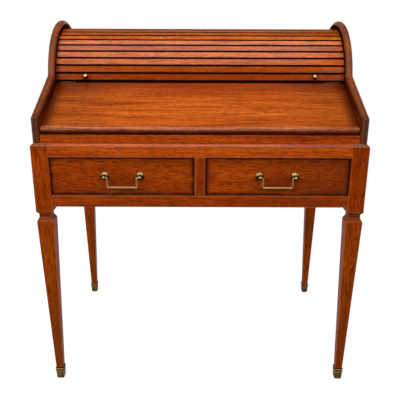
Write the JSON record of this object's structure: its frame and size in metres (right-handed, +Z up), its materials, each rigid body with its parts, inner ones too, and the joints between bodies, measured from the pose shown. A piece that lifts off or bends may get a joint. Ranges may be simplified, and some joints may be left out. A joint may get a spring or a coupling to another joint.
{
  "type": "cylinder desk",
  "caption": "Mahogany cylinder desk: tambour roll-top over a sloping lift-up writing lid between side galleries, frieze drawers with brass bail pulls, tapered legs in brass sabots.",
  "frame": {"origin": "on the floor under the middle of the desk's bounding box at rest", "axes": "+Z up, +X to the sitter's right, +Y from the sitter towards the back of the desk"},
  "size_m": [0.9004, 0.6186, 1.0485],
  "materials": {
    "stand_mahogany": "polished red-brown mahogany",
    "case_mahogany": "polished red-brown mahogany",
    "tambour_mahogany": "polished red-brown mahogany",
    "drawer_front_mahogany": "polished dark mahogany",
    "interior_mahogany": "satin mahogany",
    "plain_boards": "unpolished secondary timber",
    "brass": "aged antique brass",
    "canvas": "plain woven canvas"
  },
  "bodies": {
    "desk": {"leg_front_left": "stand_mahogany", "leg_front_right": "stand_mahogany", "leg_back_left": "stand_mahogany", "leg_back_right": "stand_mahogany", "sabots": "brass", "frieze_top_rail": "stand_mahogany", "frieze_bottom_rail": "stand_mahogany", "drawer_divider": "stand_mahogany", "side_apron_left": "stand_mahogany", "side_apron_right": "stand_mahogany", "back_apron": "stand_mahogany", "drawer_runner_left": "plain_boards", "drawer_runner_centre": "plain_boards", "drawer_runner_right": "plain_boards", "drawer_kickers": "plain_boards", "case_bottom": "plain_boards", "case_side_left": "case_mahogany", "case_side_right": "case_mahogany", "well_front_rail": "case_mahogany", "well_back": "plain_boards", "hinge_rail": "case_mahogany", "compartment_floor": "interior_mahogany", "case_back": "plain_boards", "bent_back": "plain_boards", "rack_top": "interior_mahogany", "rack_dividers": "interior_mahogany", "rack_back": "interior_mahogany", "lid_hinge_rail_leaves": "brass", "lid_hinge_pins": "brass"},
    "tambour": {"tambour_lead_rail": "tambour_mahogany", "tambour_slat_02": "tambour_mahogany", "tambour_slat_03": "tambour_mahogany", "tambour_slat_04": "tambour_mahogany", "tambour_slat_05": "tambour_mahogany", "tambour_slat_06": "tambour_mahogany", "tambour_slat_07": "tambour_mahogany", "tambour_slat_08": "tambour_mahogany", "tambour_slat_09": "tambour_mahogany", "tambour_slat_10": "tambour_mahogany", "tambour_slat_11": "tambour_mahogany", "tambour_slat_12": "tambour_mahogany", "tambour_slat_13": "tambour_mahogany", "tambour_slat_14": "tambour_mahogany", "tambour_slat_15": "tambour_mahogany", "tambour_canvas": "canvas", "tambour_knobs": "brass"},
    "lid": {"writing_lid": "case_mahogany", "lid_hinge_lid_leaves": "brass"},
    "drawer_left": {"drawer_left_front": "drawer_front_mahogany", "drawer_left_sides": "plain_boards", "drawer_left_back": "plain_boards", "drawer_left_bottom": "plain_boards", "drawer_left_pull_posts": "brass"},
    "bail_left": {"drawer_left_bail": "brass"},
    "drawer_right": {"drawer_right_front": "drawer_front_mahogany", "drawer_right_sides": "plain_boards", "drawer_right_back": "plain_boards", "drawer_right_bottom": "plain_boards", "drawer_right_pull_posts": "brass"},
    "bail_right": {"drawer_right_bail": "brass"}
  },
  "joints": [
    {"name": "tambour_roll", "type": "hinge", "parent": "desk", "child": "tambour", "pos_m": [0, 0.09715, 0.8585], "axis": [-1, 0, 0], "range_deg": [0, 92]},
    {"name": "lid_lift", "type": "hinge", "parent": "desk", "child": "lid", "pos_m": [0, -0.06848, 0.875], "axis": [-1, 0, 0], "range_deg": [0, 60]},
    {"name": "drawer_left_slide", "type": "slide", "parent": "desk", "child": "drawer_left", "axis": [0, -1, 0], "range_m": [0, 0.3]},
    {"name": "bail_left_swing", "type": "hinge", "parent": "drawer_left", "child": "bail_left", "pos_m": [-0.20975, -0.30385, 0.64925], "axis": [-1, 0, 0], "range_deg": [0, 85]},
    {"name": "drawer_right_slide", "type": "slide", "parent": "desk", "child": "drawer_right", "axis": [0, -1, 0], "range_m": [0, 0.3]},
    {"name": "bail_right_swing", "type": "hinge", "parent": "drawer_right", "child": "bail_right", "pos_m": [0.20975, -0.30385, 0.64925], "axis": [-1, 0, 0], "range_deg": [0, 85]}
  ]
}
